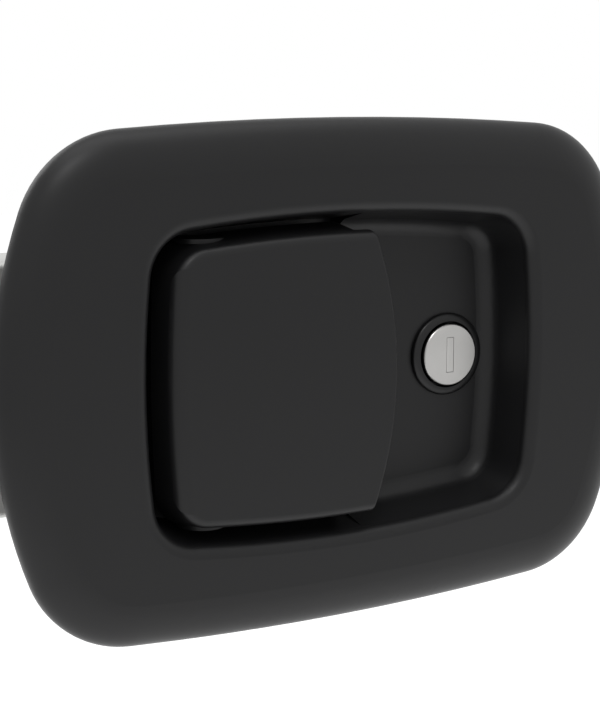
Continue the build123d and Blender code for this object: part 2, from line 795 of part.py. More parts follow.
# ---------------------------------------------------------------- parts
parts = {
    "escutcheon_pan": escutcheon_pan(),
    "flange_gasket": flange_gasket(),
    "paddle": paddle(),
    "hinge_pin": hinge_pin(),
    "hinge_washer_upper": hinge_washer(1),
    "hinge_washer_lower": hinge_washer(-1),
    "paddle_spring": paddle_spring(),
    "latch_case": latch_case(),
    "case_cover": case_cover(),
    "slam_bolt": slam_bolt(),
    "bolt_carriage": bolt_carriage(),
    "bolt_guide": bolt_guide(),
    "guide_rod": guide_rod(),
    "bolt_spring": bolt_spring(),
    "lock_body": lock_body(),
    "lock_plug": lock_plug(),
    "key_shutter": key_shutter(),
    "lock_nut": lock_nut(),
    "lock_cam": lock_cam(),
    "cam_washer": cam_washer(),
    "cam_screw": cam_screw(),
}
for number, place in enumerate(case_screw_places, 1):
    parts[f"case_screw_{number}"] = case_screw(place)
    parts[f"case_spacer_{number}"] = case_spacer(place)
for number, x in enumerate(rivet_places, 1):
    parts[f"carriage_rivet_{number}"] = carriage_rivet(x)
for number, place in enumerate(stud_places, 1):
    parts[f"mounting_stud_{number}"] = mounting_stud(place)

os.makedirs("parts", exist_ok=True)
for name, part in parts.items():
    export_step(part, f"parts/{name}.step")
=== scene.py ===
import json
from math import cos, pi, radians, sin, tan, tau

import bmesh
import bpy
from bpy.props import FloatProperty, FloatVectorProperty, IntProperty, PointerProperty
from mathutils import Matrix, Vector


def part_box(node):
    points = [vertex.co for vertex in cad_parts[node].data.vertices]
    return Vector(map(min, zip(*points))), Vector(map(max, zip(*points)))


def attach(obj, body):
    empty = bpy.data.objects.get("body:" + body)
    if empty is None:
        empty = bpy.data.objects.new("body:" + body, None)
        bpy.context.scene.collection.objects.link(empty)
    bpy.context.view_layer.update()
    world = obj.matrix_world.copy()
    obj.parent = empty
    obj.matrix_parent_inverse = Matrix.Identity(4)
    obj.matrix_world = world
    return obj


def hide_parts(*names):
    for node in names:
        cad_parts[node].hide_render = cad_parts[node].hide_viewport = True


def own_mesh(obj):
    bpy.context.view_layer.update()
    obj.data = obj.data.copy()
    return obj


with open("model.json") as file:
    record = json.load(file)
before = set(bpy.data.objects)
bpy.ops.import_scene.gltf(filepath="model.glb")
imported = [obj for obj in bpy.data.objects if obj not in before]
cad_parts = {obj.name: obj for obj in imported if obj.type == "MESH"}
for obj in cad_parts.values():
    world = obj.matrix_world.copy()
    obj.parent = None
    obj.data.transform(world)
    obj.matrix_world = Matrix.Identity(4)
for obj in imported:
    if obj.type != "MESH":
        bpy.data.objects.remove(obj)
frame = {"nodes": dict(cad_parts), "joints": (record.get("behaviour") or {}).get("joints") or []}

bl_info = {
    "name": "Flush Paddle Latch",
    "version": (1, 0, 0),
    "blender": (4, 5, 0),
    "location": "3D View > Sidebar > Paddle Latch",
    "description": "Finishes a flush paddle latch: nylon, steel, threads, springs and a studio",
    "category": "Add Mesh",
}

MM = 0.001
LATHE_SEGMENTS = 72
STUD_SEGMENTS = 24
WIRE_STEPS = 28  # per turn of a spring
THREAD_DEPTH = 0.6  # share of the pitch
# The thread's root and crest along one turn, as shares of the pitch.
ROOT_START, CREST_START, CREST_END, ROOT_END = 0.12, 0.44, 0.56, 0.88
CAMERA_PLACE = (-177.09, -290.82, 61.55)  # mm
CAMERA_TARGET = (-9.84, 0, 3.34)  # mm
FLOOR_REACH = 4.0  # metres from the middle to each side
SOFTBOXES = (  # name, width and height, and place, in metres; each faces the latch
    ("key", (0.2, 0.2), (-0.34, -0.63, 0.84)),
    ("overhead", (0.95, 0.5), (-0.04, -0.1, 0.9)),
    ("back", (0.5, 0.5), (-0.35, 0.8, 0.5)),
)
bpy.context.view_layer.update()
NODES = frame["nodes"]
JOINTS = {joint["name"]: joint for joint in frame["joints"]}


def linear(hex_colour):
    """Linear colour with alpha from an sRGB hex value."""
    channels = [int(hex_colour[place : place + 2], 16) / 255 for place in (1, 3, 5)]
    return [c / 12.92 if c <= 0.04045 else ((c + 0.055) / 1.055) ** 2.4 for c in channels] + [1.0]


# ------------------------------------------------------------------------- sizes and colours
def colour_property(name, description, hex_colour):
    """A colour that the user may change."""
    return FloatVectorProperty(
        name=name,
        description=description,
        subtype="COLOR",
        size=4,
        min=0.0,
        max=1.0,
        default=linear(hex_colour),
    )


def length_property(name, description, millimetres):
    """A length that the user may change, shown in scene units."""
    return FloatProperty(
        name=name,
        description=description,
        unit="LENGTH",
        min=0.0,
        precision=5,
        default=millimetres * MM,
    )


def strength_property(name, description, strength, unit="NONE"):
    """The strength of a light that the user may change."""
    return FloatProperty(name=name, description=description, unit=unit, min=0.0, default=strength)


class LatchColours(bpy.types.PropertyGroup):
    """Colours of the latch's finishes."""

    nylon: colour_property("Nylon", "Black glass-filled nylon of pan and paddle", "#141415")
    bush: colour_property("Bush nylon", "Unfilled black nylon of bush and washers", "#1a1a1b")
    rubber: colour_property("Rubber", "Closed-cell foam of the gasket", "#1c1c1d")
    zinc: colour_property("Zinc plate", "Clear zinc plate on folded sheet and screws", "#c8c8c6")
    cast: colour_property("Cast zinc", "Tumbled die-cast zinc of the bolt", "#a9aaad")
    stainless: colour_property("Stainless", "Turned stainless steel of pin and rod", "#b4b3b1")
    spring: colour_property("Spring steel", "Oiled drawn wire of the springs", "#8f8e8c")
    coat: colour_property("Black coat", "Black coating on the lock's body", "#0f0f10")
    nickel: colour_property("Satin nickel", "Satin nickel plate on plug and shutter", "#c1c0be")


class LatchDetails(bpy.types.PropertyGroup):
    """Sizes of the details that the latch's maker adds to the plain parts."""

    stud_radius: length_property("Stud thread", "Outer radius of the studs' M5 thread", 2.5)
    stud_pitch: length_property("Stud pitch", "Pitch of the studs' M5 thread", 0.8)
    stud_boss_gap: length_property("Stud boss gap", "Stud's head to the door's face", 0.3)
    stud_relief: length_property("Stud relief", "Neck between a stud's head and its thread", 0.8)
    lock_pitch: length_property("Lock thread pitch", "Pitch of the barrel's thread", 1.0)
    lock_flat: length_property("Lock flats", "Lock axis to each flat of the barrel", 7.1)
    barrel_radius: length_property("Lock barrel", "Outer radius of the barrel's thread", 8.0)
    bezel_height: length_property("Bezel height", "Front of the bezel above the floor", 1.3)
    bezel_wall: length_property("Bezel wall", "Upright edge of the bezel under its dome", 0.45)
    bezel_dome: length_property("Bezel dome", "How far the dome reaches in from the edge", 1.5)
    plug_stand: length_property("Plug stand", "Face of the plug above the floor", 2.0)
    plug_gap: length_property("Plug gap", "Dark gap around the plug in the bezel", 0.35)
    # The next two sizes place a painted shade on the plug's side behind its face: near black, in
    # the bezel's gap.
    plug_shade_band: length_property("Plug shade band", "Plug's face to the start of its painted_shade", 0.15)
    plug_shade_band_edge: length_property("Plug shade band edge", "How softly the painted_shade begins", 0.05)
    bezel_break: length_property("Bezel break", "Broken edge of the bezel around the plug", 0.1)
    barrel_bore: length_property("Lock bore", "Radius of the bore behind the bezel", 5.55)
    nut_fit: length_property("Nut fit", "Gap between the lock's thread and its nut", 0.02)
    nut_chamfer: length_property("Nut chamfer", "Reach of the chamfer from the nut's corners", 1.9)
    spring_wire: length_property("Spring wire", "Wire radius of both springs", 0.6)
    bolt_spring_turns: IntProperty(
        name="Bolt spring turns",
        description="Free turns of the bolt spring",
        min=2,
        max=20,
        default=5,
    )
    hinge_spring_turns: IntProperty(
        name="Hinge spring turns",
        description="Turns of the torsion spring",
        min=1,
        max=12,
        default=4,
    )
    edge_break: length_property("Edge break", "Deburred edge of folded and blanked steel", 0.15)


class LatchStudio(bpy.types.PropertyGroup):
    """Camera, floor and lamps."""

    lens: FloatProperty(
        name="Lens",
        description="Focal length of the camera",
        unit="CAMERA",
        default=79.385,
    )
    floor_drop: length_property("Floor drop", "Floor below the latch's middle", 300)
    floor: colour_property("Floor", "White floor", "#e7e7e7")
    world: strength_property("World", "Even white surroundings, as dull faces receive them", 0.7)
    paper: strength_property("Paper", "Glow of the floor as the camera sees it", 0.5)
    # Pool: a painted pool of light, which the floor's glow shows in reflections only.
    pool: strength_property("Pool", "Glow of the floor near the latch, in reflections", 0.8)
    pool_rest: strength_property("Pool rest", "Glow of the floor far off, in reflections", 0.06)
    pool_inner: length_property("Pool inner", "Where the floor's glow starts to fade", 450)
    pool_outer: length_property("Pool outer", "Where the floor's glow has faded", 1500)
    key: strength_property("Key", "Small softbox high in front", 2.1, unit="POWER")
    overhead: strength_property("Overhead", "Long softbox over the latch", 2.4, unit="POWER")
    back: strength_property("Back", "Softbox high behind the latch", 1.5, unit="POWER")


# ------------------------------------------------------------------------- shader helpers
def add_node(tree, kind, inputs=None, **settings):
    """Adds a node, sets its properties, and sets or links its inputs."""
    new_node = tree.nodes.new(kind)
    for name, value in settings.items():
        setattr(new_node, name, value)
    for name, value in (inputs or {}).items():
        socket = new_node.inputs[name]
        if isinstance(value, bpy.types.NodeSocket):
            tree.links.new(value, socket)
        else:
            socket.default_value = value
    return new_node


def per_metre(millimetres):
    """Texture scale for a pattern of one size."""
    return 1000 / millimetres


def blank_material(name):
    """A material with an emptied tree, the tree, and object coordinates in it."""
    material = bpy.data.materials.new(name)
    material.use_nodes = True
    tree = material.node_tree
    tree.nodes.clear()
    return material, tree, add_node(tree, "ShaderNodeTexCoord").outputs["Object"]


def finish_material(tree, shader):
    """Joins a shader to the material's output."""
    add_node(tree, "ShaderNodeOutputMaterial", {"Surface": shader.outputs[0]})


def principled(tree, inputs):
    """Ends a material's tree in the principled shader."""
    finish_material(tree, add_node(tree, "ShaderNodeBsdfPrincipled", inputs))


def maths(tree, operation, one, other):
    """Result of a sum, a product or a maximum."""
    return add_node(tree, "ShaderNodeMath", {0: one, 1: other}, operation=operation).outputs[0]


def noise(tree, place, millimetres, detail):
    """Noise with a pattern of one size."""
    inputs = {"Vector": place, "Scale": per_metre(millimetres), "Detail": detail}
    return add_node(tree, "ShaderNodeTexNoise", inputs).outputs["Fac"]


def spread(tree, value, low, high):
    """A noise value, which mostly lies from 0.3 to 0.7, mapped to a range."""
    limits = {"Value": value, "From Min": 0.3, "From Max": 0.7, "To Min": low, "To Max": high}
    return add_node(tree, "ShaderNodeMapRange", limits).outputs["Result"]


def dimmed(colour, share):
    """A colour at a share of its brightness."""
    return [channel * share for channel in colour[:3]] + [1.0]


def tinted(tree, value, colour, share):
    """A colour that a noise value dims, in places, to a share of its brightness."""
    inputs = {"Fac": spread(tree, value, 0, 1), "Color1": dimmed(colour, share), "Color2": colour}
    return add_node(tree, "ShaderNodeMixRGB", inputs).outputs["Color"]


def bumped(tree, height, depth_mm, strength=1.0):
    """Normals of a face with relief of one depth."""
    inputs = {"Strength": strength, "Distance": depth_mm * MM, "Height": height}
    return add_node(tree, "ShaderNodeBump", inputs).outputs["Normal"]


# ------------------------------------------------------------------------- materials
def moulded_nylon(name, colour, roughness, grain_depth_mm):
    """Glass-filled nylon from a spark-eroded mould.

    The erosion leaves an even fine grain, so the gloss is satin and highlights have soft edges.
    The grain is 0.1 mm on the real part and is drawn at 0.35 mm to show. Flow marks of the glass
    fibres vary the gloss slowly over some 40 mm."""
    material, tree, place = blank_material(name)
    grain = noise(tree, place, millimetres=0.35, detail=2.0)
    flow = noise(tree, place, millimetres=40, detail=2.0)
    principled(
        tree,
        {
            "Base Color": tinted(tree, flow, colour, share=0.94),
            "Roughness": spread(tree, flow, roughness - 0.02, roughness + 0.02),
            "IOR": 1.36,
            "Normal": bumped(tree, grain, grain_depth_mm, strength=0.6),
        },
    )
    return material


def foam_rubber(name, colour):
    """Closed-cell neoprene foam, cut from sheet.

    Cut cells about 0.5 mm across leave a dull pitted face with no highlight."""
    material, tree, place = blank_material(name)
    inputs = {"Vector": place, "Scale": per_metre(0.5)}
    cells = add_node(tree, "ShaderNodeTexVoronoi", inputs).outputs["Distance"]
    principled(
        tree,
        {
            # The cut cells are real pits, in the bump. The colour, darkened to half towards each
            # pit's bottom, is painted shade.
            "Base Color": tinted(tree, cells, colour, share=0.5),
            "Roughness": 0.85,
            "IOR": 1.5,
            "Normal": bumped(tree, cells, depth_mm=0.12),
        },
    )
    return material


def clouded_metal(name, colour, roughness, cloud_mm, grain_mm, grain_depth_mm, stretch=(1, 1, 1)):
    """A metal whose finish is slightly clouded, with a fine grain that may run one way."""
    material, tree, place = blank_material(name)
    mapping = add_node(tree, "ShaderNodeMapping", {"Vector": place, "Scale": stretch})
    clouds = noise(tree, place, cloud_mm, detail=4.0)
    grain = noise(tree, mapping.outputs["Vector"], grain_mm, detail=3.0)
    mean = maths(tree, "MULTIPLY", maths(tree, "ADD", clouds, grain), 0.5)
    principled(
        tree,
        {
            "Base Color": tinted(tree, clouds, colour, share=0.9),
            "Metallic": 1.0,
            "Roughness": spread(tree, mean, roughness - 0.06, roughness + 0.06),
            "Normal": bumped(tree, grain, grain_depth_mm),
        },
    )
    return material


def turned_metal(name, colour, roughness, centre, axis, groove_mm, groove_depth_mm, shade_band=None):
    """A metal turned on a lathe: fine grooves in rings about its axis soften what it reflects.

    They are drawn some 2 mm apart, far coarser than a finishing cut, and too shallow to see one
    by one. A shade band, given as its start along Y and the width of its edge, paints the metal
    near black from there on: painted shade."""
    material, tree, place = blank_material(name)
    from_axis = add_node(tree, "ShaderNodeVectorMath", {0: place, 1: centre}, operation="SUBTRACT")
    grooves = add_node(
        tree,
        "ShaderNodeTexWave",
        {
            "Vector": from_axis.outputs[0],
            "Scale": per_metre(groove_mm) * tau / 20,  # at scale 1, rings lie tau / 20 apart
            "Distortion": 0.6,
            "Detail": 1.0,
        },
        wave_type="RINGS",
        rings_direction=axis,
    )
    clouds = noise(tree, place, millimetres=6, detail=3.0)
    tint = tinted(tree, clouds, colour, share=0.95)
    # Painted shade: from the band's start along Y the colour turns near black.
    if shade_band:
        start, edge = shade_band
        depth = add_node(tree, "ShaderNodeSeparateXYZ", {0: place}).outputs["Y"]
        limits = {"Value": depth, "From Min": start, "From Max": start + edge}
        share = add_node(tree, "ShaderNodeMapRange", limits).outputs["Result"]
        inputs = {"Fac": share, "Color1": tint, "Color2": dimmed(colour, share=0.03)}
        tint = add_node(tree, "ShaderNodeMixRGB", inputs).outputs["Color"]
    principled(
        tree,
        {
            "Base Color": tint,
            "Metallic": 1.0,
            "Roughness": spread(tree, clouds, roughness - 0.04, roughness + 0.04),
            "Normal": bumped(tree, grooves.outputs["Fac"], groove_depth_mm),
        },
    )
    return material


def black_coat(name, colour):
    """Black electro-coat on die-cast zinc: thin and even, semi-gloss, with rounded highlights."""
    material, tree, place = blank_material(name)
    peel = noise(tree, place, millimetres=1.2, detail=2.0)
    principled(
        tree,
        {
            "Base Color": colour,
            "Roughness": spread(tree, peel, 0.32, 0.38),
            "IOR": 1.38,
            "Normal": bumped(tree, peel, depth_mm=0.004, strength=0.5),
        },
    )
    return material


def zinc_plate(colour):
    """Clear zinc plate on cold-rolled steel: light grey, dull and softly clouded.

    The rolling of the sheet leaves faint lines along X."""
    return clouded_metal(
        "steel_clear_zinc_plate",
        colour,
        roughness=0.62,
        cloud_mm=12,
        grain_mm=0.5,
        grain_depth_mm=0.004,
        stretch=(0.08, 1, 1),
    )


# ------------------------------------------------------------------------- mesh helpers
def dress(names, material, edge_break=0.0):
    """Gives CAD nodes a material and, for sharp sheet or bar, a small broken edge."""
    for name in names:
        node = NODES[name]
        node.data.materials.clear()
        node.data.materials.append(material)
        if edge_break:
            bevel = node.modifiers.new("edge_break", "BEVEL")
            bevel.width = edge_break
            bevel.segments = 2
            bevel.limit_method = "ANGLE"
            bevel.angle_limit = radians(50)


def axis_of(node):
    """Middle of a node in the front view, as X and Z."""
    low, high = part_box(node)
    return (low.x + high.x) / 2, (low.z + high.z) / 2


def ring(mesh, centre, points, half_flat=None):
    """Vertices around a front-view centre from angle, radius and depth.

    Two upright flats may cut the ring."""
    vertices = []
    for angle, radius, depth in points:
        across = radius * cos(angle)
        if half_flat:
            across = max(-half_flat, min(half_flat, across))
        upwards = radius * sin(angle)
        vertices.append(mesh.verts.new((centre[0] + across, depth, centre[1] + upwards)))
    return vertices


def bridge(mesh, one, other):
    """Quads between two rings."""
    count = len(one)
    for place in range(count):
        following = (place + 1) % count
        mesh.faces.new((one[place], one[following], other[following], other[place]))


def lathe(mesh, centre, profile, segments, half_flat=None):
    """Skin turned about Y from radius and depth."""
    rings = []
    for radius, depth in profile:
        points = [(tau * place / segments, radius, depth) for place in range(segments)]
        rings.append(ring(mesh, centre, points, half_flat))
    for one, other in zip(rings, rings[1:]):
        bridge(mesh, one, other)


def thread(mesh, centre, outer, pitch, start, end, segments, half_flat=None):
    """Rolled thread between two depths, chamfered at both ends, on a helical grid."""
    root = outer - THREAD_DEPTH * pitch
    shape = (
        (0.0, root),
        (ROOT_START, root),
        (CREST_START, outer),
        (CREST_END, outer),
        (ROOT_END, root),
    )
    turns = int((end - start) / pitch) + 2
    rows = [(turn + share - 1, radius) for turn in range(turns + 1) for share, radius in shape]
    grid = []
    for offset, radius in rows:
        points = []
        for place in range(segments + 1):
            depth = max(start, min(end, start + pitch * (offset + place / segments)))
            chamfered = min(radius, root + depth - start, root + end - depth)
            points.append((tau * place / segments, chamfered, depth))
        grid.append(ring(mesh, centre, points, half_flat))
    for one, other in zip(grid, grid[1:]):
        for place in range(segments):
            mesh.faces.new((one[place], one[place + 1], other[place + 1], other[place]))
    return root


def close_mesh(mesh, name):
    """Joins meeting vertices, fills open ends, turns faces outwards and makes the mesh."""
    bmesh.ops.remove_doubles(mesh, verts=mesh.verts, dist=1e-6)
    loose = [edge for edge in mesh.edges if not edge.link_faces]
    bmesh.ops.delete(mesh, geom=loose, context="EDGES")
    open_edges = [edge for edge in mesh.edges if edge.is_boundary]
    bmesh.ops.holes_fill(mesh, edges=open_edges, sides=0)
    bmesh.ops.recalc_face_normals(mesh, faces=mesh.faces)
    data = bpy.data.meshes.new(name)
    mesh.to_mesh(data)
    mesh.free()
    return data


def add_piece(name, data, material, body, nodes, smooth_angle=35):
    """Puts a mesh in the scene in place of CAD nodes, on a body, with its finish."""
    data.materials.clear()
    data.materials.append(material)
    data.shade_smooth()
    data.set_sharp_from_angle(angle=radians(smooth_angle))
    piece = bpy.data.objects.new(name, data)
    bpy.context.scene.collection.objects.link(piece)
    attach(piece, body)
    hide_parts(*nodes)
    return piece


def wire_mesh(name, points, radius):
    """A round wire along points."""
    curve = bpy.data.curves.new(name, "CURVE")
    curve.dimensions = "3D"
    curve.bevel_depth = radius
    curve.bevel_resolution = 3
    curve.use_fill_caps = True
    spline = curve.splines.new("POLY")
    spline.points.add(len(points) - 1)
    for point, place in zip(spline.points, points):
        point.co = (*place, 1.0)
    holder = bpy.data.objects.new(name, curve)
    data = bpy.data.meshes.new_from_object(holder)
    bpy.data.objects.remove(holder)
    bpy.data.curves.remove(curve)
    data.name = name
    return data


# ------------------------------------------------------------------------- operators
class LATCH_OT_mouldings(bpy.types.Operator):
    """Finishes the pan, the paddle, the bush and the hinge washers in moulded nylon"""

    bl_idname = "latch.mouldings"
    bl_label = "Mouldings"

    def execute(self, context):
        colours = context.scene.latch_colours
        textured = moulded_nylon(
            "nylon_glass_filled_moulded", colours.nylon, roughness=0.41, grain_depth_mm=0.004
        )
        dress(["escutcheon_pan", "paddle"], textured)
        plain = moulded_nylon(
            "nylon_plain_moulded", colours.bush, roughness=0.38, grain_depth_mm=0.001
        )
        dress(["bolt_guide", "hinge_washer_upper", "hinge_washer_lower"], plain)
        return {"FINISHED"}


class LATCH_OT_gasket(bpy.types.Operator):
    """Finishes the flange gasket in closed-cell foam"""

    bl_idname = "latch.gasket"
    bl_label = "Gasket"

    def execute(self, context):
        foam = foam_rubber("neoprene_foam_cut", context.scene.latch_colours.rubber)
        dress(["flange_gasket"], foam)
        return {"FINISHED"}


class LATCH_OT_case(bpy.types.Operator):
    """Finishes the folded case, its cover, screws and sleeves in clear zinc plate"""

    bl_idname = "latch.case"
    bl_label = "Case"

    def execute(self, context):
        plate = zinc_plate(context.scene.latch_colours.zinc)
        dress(["latch_case", "case_cover"], plate, context.scene.latch_details.edge_break)
        dress([name for name in NODES if name.startswith(("case_screw", "case_spacer"))], plate)
        return {"FINISHED"}


class LATCH_OT_studs(bpy.types.Operator):
    """Makes the four mounting studs with rolled threads"""

    bl_idname = "latch.studs"
    bl_label = "Mounting studs"

    def execute(self, context):
        details = context.scene.latch_details
        # A rolled thread is burnished by its dies, so it shines more than sheet.
        plate = clouded_metal(
            "steel_zinc_plated_rolled",
            context.scene.latch_colours.zinc,
            roughness=0.36,
            cloud_mm=5,
            grain_mm=0.4,
            grain_depth_mm=0.002,
        )
        for name in [node for node in NODES if node.startswith("mounting_stud")]:
            low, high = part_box(name)
            centre = axis_of(name)
            head = (high.x - low.x) / 2
            thread_start = details.stud_relief - details.stud_boss_gap
            mesh = bmesh.new()
            root = thread(
                mesh,
                centre,
                details.stud_radius,
                details.stud_pitch,
                thread_start,
                high.y,
                STUD_SEGMENTS,
            )
            profile = [
                (root, thread_start),
                (root, -details.stud_boss_gap),
                (head, -details.stud_boss_gap),
                (head, low.y),
            ]
            lathe(mesh, centre, profile, STUD_SEGMENTS)
            data = close_mesh(mesh, f"{name}_threaded")
            add_piece(f"{name}_threaded", data, plate, "pan", [name])
        return {"FINISHED"}


class LATCH_OT_bolt(bpy.types.Operator):
    """Finishes the slam bolt in tumbled cast zinc, and the carriage and its rivets"""

    bl_idname = "latch.bolt"
    bl_label = "Slam bolt"

    def execute(self, context):
        colours = context.scene.latch_colours
        details = context.scene.latch_details
        # Tumbling with ceramic chips leaves an even dull sheen with small dents some 2 mm apart.
        cast = clouded_metal(
            "zinc_die_cast_tumbled",
            colours.cast,
            roughness=0.44,
            cloud_mm=4,
            grain_mm=1.8,
            grain_depth_mm=0.02,
        )
        dress(["slam_bolt"], cast, 2 * details.edge_break)
        dress(["bolt_carriage"], zinc_plate(colours.zinc), details.edge_break)
        # Peening leaves fine dents on a rivet's head, which break up its shine.
        rivet = clouded_metal(
            "steel_rivet_peened",
            colours.stainless,
            roughness=0.35,
            cloud_mm=3,
            grain_mm=0.8,
            grain_depth_mm=0.006,
        )
        dress(["carriage_rivet_1", "carriage_rivet_2"], rivet)
        return {"FINISHED"}


class LATCH_OT_hinge(bpy.types.Operator):
    """Finishes the hinge pin and the guide rod in turned stainless steel"""

    bl_idname = "latch.hinge"
    bl_label = "Hinge pin and rod"

    def execute(self, context):
        low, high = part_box("guide_rod")
        bars = (
            ("hinge_pin", "stainless_turned_pin", JOINTS["paddle_hinge"]["pos_m"], "Z"),
            ("guide_rod", "stainless_turned_rod", (low + high) / 2, "X"),
        )
        for node, name, centre, axis in bars:
            turned = turned_metal(
                name,
                context.scene.latch_colours.stainless,
                roughness=0.25,
                centre=centre,
                axis=axis,
                groove_mm=2.513,
                groove_depth_mm=0.001,
            )
            dress([node], turned)
        return {"FINISHED"}


class LATCH_OT_springs(bpy.types.Operator):
    """Winds the paddle's torsion spring and the bolt's compression spring"""

    bl_idname = "latch.springs"
    bl_label = "Springs"

    def execute(self, context):
        details = context.scene.latch_details
        # Wire drawn through a die is smooth and oily, so it is darker and glossier than plate.
        steel = clouded_metal(
            "spring_wire_drawn",
            context.scene.latch_colours.spring,
            roughness=0.28,
            cloud_mm=3,
            grain_mm=0.5,
            grain_depth_mm=0.001,
        )
        self.torsion_spring(details, steel)
        self.bolt_spring(details, steel)
        return {"FINISHED"}

    def torsion_spring(self, details, steel):
        low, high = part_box("paddle_spring")
        wire = details.spring_wire
        axis_x, axis_y, _ = JOINTS["paddle_hinge"]["pos_m"]
        radius = high.x - axis_x - wire
        steps = WIRE_STEPS * details.hinge_spring_turns
        bottom, top = low.z + wire, high.z - wire
        points = [(axis_x + radius, low.y + wire / 2, bottom)]
        for step in range(steps + 1):
            share = step / steps
            angle = tau * details.hinge_spring_turns * share
            height = bottom + (top - bottom) * share
            points.append((axis_x + radius * cos(angle), axis_y + radius * sin(angle), height))
        points.append((axis_x + radius, high.y - wire / 2, top))
        data = wire_mesh("paddle_spring_wound", points, wire)
        add_piece("paddle_spring_wound", data, steel, "pan", ["paddle_spring"])

    def bolt_spring(self, details, steel):
        low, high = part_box("bolt_spring")
        wire = details.spring_wire
        middle_y, middle_z = (low.y + high.y) / 2, (low.z + high.z) / 2
        radius = (high.z - low.z) / 2 - wire
        left, right = low.x + wire, high.x - wire
        # One turn at each end lies closed, and the free turns share the rest of the length.
        closed = 2 * wire
        free_rise = (right - left - 2 * closed) / details.bolt_spring_turns
        turns = details.bolt_spring_turns + 2
        points = []
        for step in range(WIRE_STEPS * turns + 1):
            turn = step / WIRE_STEPS
            free = max(0.0, min(turn - 1, details.bolt_spring_turns))
            ends = turn - free
            angle = tau * turn
            x = left + closed * ends + free_rise * free
            points.append((x, middle_y + radius * sin(angle), middle_z + radius * cos(angle)))
        name = "bolt_spring_wound"
        data = wire_mesh(name, points, wire)
        spring = add_piece(name, data, steel, "pan", ["bolt_spring"])
        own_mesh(spring)


class LATCH_OT_lock(bpy.types.Operator):
    """Makes the lock's body and nut, and finishes the plug, its shutter and the cam"""

    bl_idname = "latch.lock"
    bl_label = "Key lock"

    def execute(self, context):
        colours = context.scene.latch_colours
        details = context.scene.latch_details
        self.lock_body(details, black_coat("zinc_black_electro_coat", colours.coat))
        bright = clouded_metal(
            "steel_nut_plated",
            colours.zinc,
            roughness=0.36,
            cloud_mm=4,
            grain_mm=0.5,
            grain_depth_mm=0.003,
        )
        self.lock_nut(details, bright)
        x, z = axis_of("lock_plug")
        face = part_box("lock_plug")[0].y
        # Satin nickel over a finely turned face gives a soft, even shine. Behind the face, in the
        # gap of the bezel, the plug is painted near black: painted shade.
        nickel = turned_metal(
            "brass_satin_nickel_plate",
            colours.nickel,
            roughness=0.37,
            centre=(x, face, z),
            axis="Y",
            groove_mm=1.885,
            groove_depth_mm=0.0006,
            shade_band=(face + details.plug_shade_band, details.plug_shade_band_edge),
        )
        dress(["lock_plug", "key_shutter"], nickel)
        plate = zinc_plate(colours.zinc)
        dress(["lock_cam"], plate, details.edge_break)
        dress(["cam_washer", "cam_screw"], plate)
        return {"FINISHED"}

    def lock_body(self, details, coat):
        low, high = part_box("lock_body")
        centre = axis_of("lock_body")
        bezel = (high.x - low.x) / 2
        plug_low, plug_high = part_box("lock_plug")
        plug_bore = (plug_high.x - plug_low.x) / 2 + details.plug_gap
        seat = plug_low.y + details.plug_stand
        front = seat - details.bezel_height
        dome_height = details.bezel_height - details.bezel_wall
        dome = [
            (
                bezel - details.bezel_dome * (1 - sin(radians(angle))),
                front + dome_height * (1 - cos(radians(angle))),
            )
            for angle in range(0, 91, 9)
        ]
        edge, bore, flat = details.bezel_break, details.barrel_bore, details.lock_flat
        mesh = bmesh.new()
        root = thread(
            mesh,
            centre,
            details.barrel_radius,
            details.lock_pitch,
            seat,
            high.y,
            LATHE_SEGMENTS,
            flat,
        )
        hole = [(plug_bore, seat), (plug_bore, front + edge), (plug_bore + edge, front)]
        lathe(mesh, centre, hole + dome + [(bezel, seat), (root, seat)], LATHE_SEGMENTS)
        lathe(mesh, centre, [(root, high.y), (bore, high.y), (bore, seat)], LATHE_SEGMENTS, flat)
        data = close_mesh(mesh, "lock_body_threaded")
        add_piece("lock_body_threaded", data, coat, "pan", ["lock_body"])

    def lock_nut(self, details, plate):
        low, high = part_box("lock_nut")
        centre = axis_of("lock_nut")
        half_flats = min(high.x - low.x, high.z - low.z) / 2
        corner = half_flats / cos(pi / 6)
        chamfer_from = corner - details.nut_chamfer
        hole = details.barrel_radius + details.nut_fit
        angles = [tau * place / LATHE_SEGMENTS for place in range(LATHE_SEGMENTS)]

        def hexagon(angle):
            return half_flats / cos((angle + pi / 6) % (pi / 3) - pi / 6)

        def chamfered(face, inward):
            points = []
            for angle in angles:
                drop = max(0.0, hexagon(angle) - chamfer_from) * tan(radians(30))
                points.append((angle, hexagon(angle), face + inward * drop))
            return points

        def plain(radius, face):
            return [(angle, radius, face) for angle in angles]

        mesh = bmesh.new()
        rows = [
            plain(hole, low.y),
            plain(chamfer_from, low.y),
            chamfered(low.y, 1),
            chamfered(high.y, -1),
            plain(chamfer_from, high.y),
            plain(hole, high.y),
        ]
        rings = [ring(mesh, centre, points) for points in rows]
        for one, other in zip(rings, rings[1:] + rings[:1]):
            bridge(mesh, one, other)
        name = "lock_nut_chamfered"
        data = close_mesh(mesh, name)
        add_piece(name, data, plate, "pan", ["lock_nut"], smooth_angle=25)


